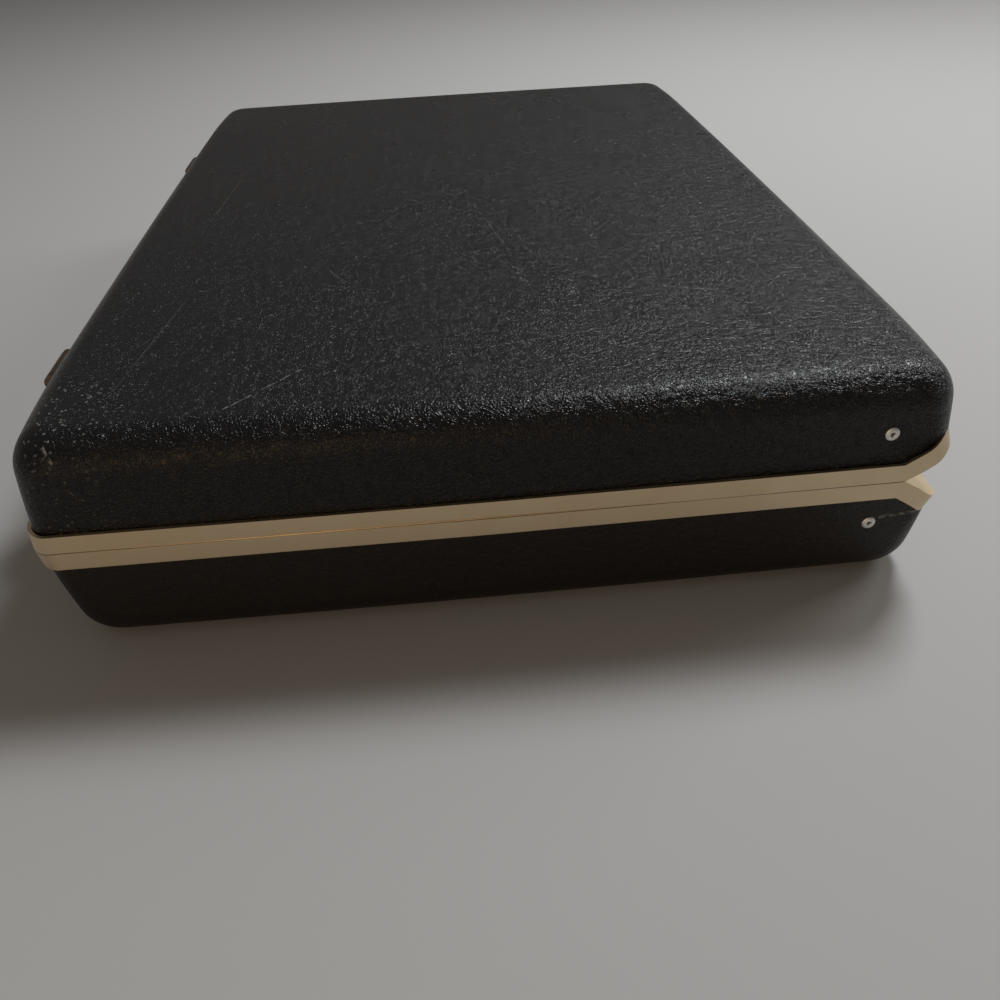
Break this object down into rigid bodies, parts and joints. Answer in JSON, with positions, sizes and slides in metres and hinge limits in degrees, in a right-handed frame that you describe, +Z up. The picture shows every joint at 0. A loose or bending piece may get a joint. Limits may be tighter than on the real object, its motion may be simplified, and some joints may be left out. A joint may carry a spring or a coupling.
{
  "type": "briefcase",
  "caption": "Hard-sided rectangular case in two shallow halves with a hinged lid, metal frame, front latches, folding handle and folding stays.",
  "frame": {"origin": "middle of the flat underside of the base", "axes": "+X along the long side, +Y from the latches and handle towards the hinge, +Z up through the lid"},
  "size_m": [0.459, 0.3692, 0.088],
  "materials": {
    "cover": "pebbled black vinyl, satin",
    "shell": "matt moulded",
    "lining": "woven, matt",
    "frame": "satin anodised, lightly scuffed",
    "hinge": "nickel plated, satin",
    "stay": "nickel plated, satin",
    "rivet": "nickel plated, dull",
    "latch": "satin black moulding",
    "lock": "satin black",
    "key": "polished",
    "grip": "satin black moulding, fine grain",
    "pocket": "smooth black vinyl"
  },
  "bodies": {
    "base": {"base_cover": "cover", "base_shell": "shell", "base_lining": "lining", "base_frame": "frame", "base_hinge_leaves": "hinge", "base_hinge_rivets": "rivet", "hinge_pins": "hinge", "base_stay_brackets": "stay", "base_stay_rivets": "rivet", "lock_cases": "lock", "lock_covers": "lock", "handle_brackets": "lock", "handle_pins": "rivet", "handle_screws": "rivet"},
    "lid": {"lid_cover": "cover", "lid_shell": "shell", "lid_lining": "lining", "lid_frame": "frame", "lid_hinge_leaves": "hinge", "lid_hinge_rivets": "rivet", "lid_stay_brackets": "stay", "lid_stay_rivets": "rivet", "catch_plates": "lock", "hasp_pins": "rivet", "document_pocket": "pocket", "pen_loops": "pocket"},
    "handle": {"handle_grip": "grip", "handle_core": "hinge"},
    "left_lower_link": {"left_stay_lower_link": "stay", "left_knee_pin": "rivet"},
    "left_upper_link": {"left_stay_upper_link": "stay"},
    "left_hasp": {"left_hasp": "latch"},
    "left_slide": {"left_slide_button": "latch"},
    "left_cylinder": {"left_key_cylinder": "key"},
    "right_lower_link": {"right_stay_lower_link": "stay", "right_knee_pin": "rivet"},
    "right_upper_link": {"right_stay_upper_link": "stay"},
    "right_hasp": {"right_hasp": "latch"},
    "right_slide": {"right_slide_button": "latch"},
    "right_cylinder": {"right_key_cylinder": "key"}
  },
  "joints": [
    {"name": "lid_hinge", "type": "hinge", "parent": "base", "child": "lid", "pos_m": [0, 0.16, 0.047], "axis": [-1, 0, 0], "range_deg": [0, 95]},
    {"name": "left_lower_stay_pivot", "type": "hinge", "parent": "base", "child": "left_lower_link", "pos_m": [0, 0.1, 0.035], "axis": [-1, 0, 0], "range_deg": [0, 95]},
    {"name": "left_upper_stay_pivot", "type": "hinge", "parent": "lid", "child": "left_upper_link", "pos_m": [0, 0.1, 0.059], "axis": [-1, 0, 0], "range_deg": [-95, 0]},
    {"name": "right_lower_stay_pivot", "type": "hinge", "parent": "base", "child": "right_lower_link", "pos_m": [0, 0.1, 0.035], "axis": [-1, 0, 0], "range_deg": [0, 95]},
    {"name": "right_upper_stay_pivot", "type": "hinge", "parent": "lid", "child": "right_upper_link", "pos_m": [0, 0.1, 0.059], "axis": [-1, 0, 0], "range_deg": [-95, 0]},
    {"name": "left_hasp_pivot", "type": "hinge", "parent": "lid", "child": "left_hasp", "pos_m": [-0.138, -0.1706, 0.0705], "axis": [-1, 0, 0], "range_deg": [0, 110]},
    {"name": "left_button_slide", "type": "slide", "parent": "base", "child": "left_slide", "axis": [-1, 0, 0], "range_m": [0, 0.006], "stiffness_N_per_m": 150},
    {"name": "left_cylinder_turn", "type": "hinge", "parent": "base", "child": "left_cylinder", "pos_m": [-0.138, -0.17, 0.0245], "axis": [0, 1, 0], "range_deg": [0, 90]},
    {"name": "right_hasp_pivot", "type": "hinge", "parent": "lid", "child": "right_hasp", "pos_m": [0.138, -0.1706, 0.0705], "axis": [-1, 0, 0], "range_deg": [0, 110]},
    {"name": "right_button_slide", "type": "slide", "parent": "base", "child": "right_slide", "axis": [1, 0, 0], "range_m": [0, 0.006], "stiffness_N_per_m": 150},
    {"name": "right_cylinder_turn", "type": "hinge", "parent": "base", "child": "right_cylinder", "pos_m": [0.138, -0.17, 0.0245], "axis": [0, 1, 0], "range_deg": [0, 90]},
    {"name": "handle_swing", "type": "hinge", "parent": "base", "child": "handle", "pos_m": [0, -0.1725, 0.03], "axis": [-1, 0, 0], "range_deg": [0, 115]}
  ],
  "couplings": [
    {"joint": "left_lower_stay_pivot", "follows": "lid_hinge", "ratio": 1},
    {"joint": "left_upper_stay_pivot", "follows": "lid_hinge", "ratio": -1},
    {"joint": "right_lower_stay_pivot", "follows": "lid_hinge", "ratio": 1},
    {"joint": "right_upper_stay_pivot", "follows": "lid_hinge", "ratio": -1}
  ]
}
